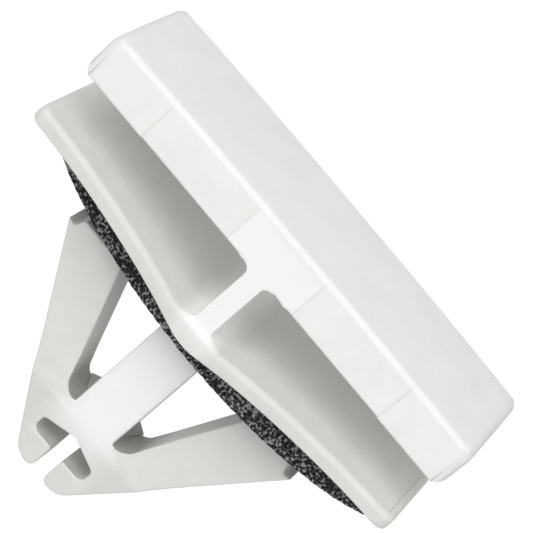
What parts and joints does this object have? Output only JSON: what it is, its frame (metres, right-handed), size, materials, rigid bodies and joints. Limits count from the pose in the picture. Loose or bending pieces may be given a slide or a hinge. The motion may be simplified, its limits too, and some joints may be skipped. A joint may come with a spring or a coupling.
{
  "type": "push-in moulding clip with foam seal",
  "caption": "White push-in clip: a slide-in block head, a curved spring skirt with a black foam seal, and a barbed anchor with a split hooked tip.",
  "frame": {"origin": "the stem's axis at the panel face, where the underside of the seal's middle seats", "axes": "+Z away from the panel to the head, +X along the head, +Y through the depth"},
  "size_m": [0.03, 0.0102, 0.0246],
  "materials": {
    "nylon": "satin natural white",
    "foam": "matt black cellular foam",
    "adhesive": "thin clear film"
  },
  "bodies": {
    "core": {"head_centre": "nylon", "head_inner_left": "nylon", "head_inner_right": "nylon", "head_end_left": "nylon", "head_end_right": "nylon", "neck": "nylon", "skirt_hub": "nylon", "seal": "foam", "seal_adhesive": "adhesive", "post": "nylon", "hub": "nylon"},
    "arm_left": {"barb_arm_left": "nylon"},
    "arm_right": {"barb_arm_right": "nylon"},
    "prong_left": {"tip_prong_left": "nylon"},
    "prong_right": {"tip_prong_right": "nylon"},
    "wing_left": {"skirt_wing_left": "nylon"},
    "wing_right": {"skirt_wing_right": "nylon"}
  },
  "joints": [
    {"name": "arm_flex_left", "type": "hinge", "parent": "core", "child": "arm_left", "pos_m": [-0.00333, 0, -0.00932], "axis": [0, 1, 0], "range_deg": [0, 11], "stiffness_Nm_per_rad": 2},
    {"name": "prong_flex_left", "type": "hinge", "parent": "core", "child": "prong_left", "pos_m": [-0.00262, 0, -0.01213], "axis": [0, -1, 0], "range_deg": [0, 10], "stiffness_Nm_per_rad": 0.26},
    {"name": "wing_flex_left", "type": "hinge", "parent": "core", "child": "wing_left", "pos_m": [-0.00208, 0, 0.0016], "axis": [0, 1, 0], "range_deg": [0, 4], "stiffness_Nm_per_rad": 0.27},
    {"name": "arm_flex_right", "type": "hinge", "parent": "core", "child": "arm_right", "pos_m": [0.00333, 0, -0.00932], "axis": [0, -1, 0], "range_deg": [0, 11], "stiffness_Nm_per_rad": 2},
    {"name": "prong_flex_right", "type": "hinge", "parent": "core", "child": "prong_right", "pos_m": [0.00262, 0, -0.01213], "axis": [0, 1, 0], "range_deg": [0, 10], "stiffness_Nm_per_rad": 0.26},
    {"name": "wing_flex_right", "type": "hinge", "parent": "core", "child": "wing_right", "pos_m": [0.00208, 0, 0.0016], "axis": [0, -1, 0], "range_deg": [0, 4], "stiffness_Nm_per_rad": 0.27}
  ]
}
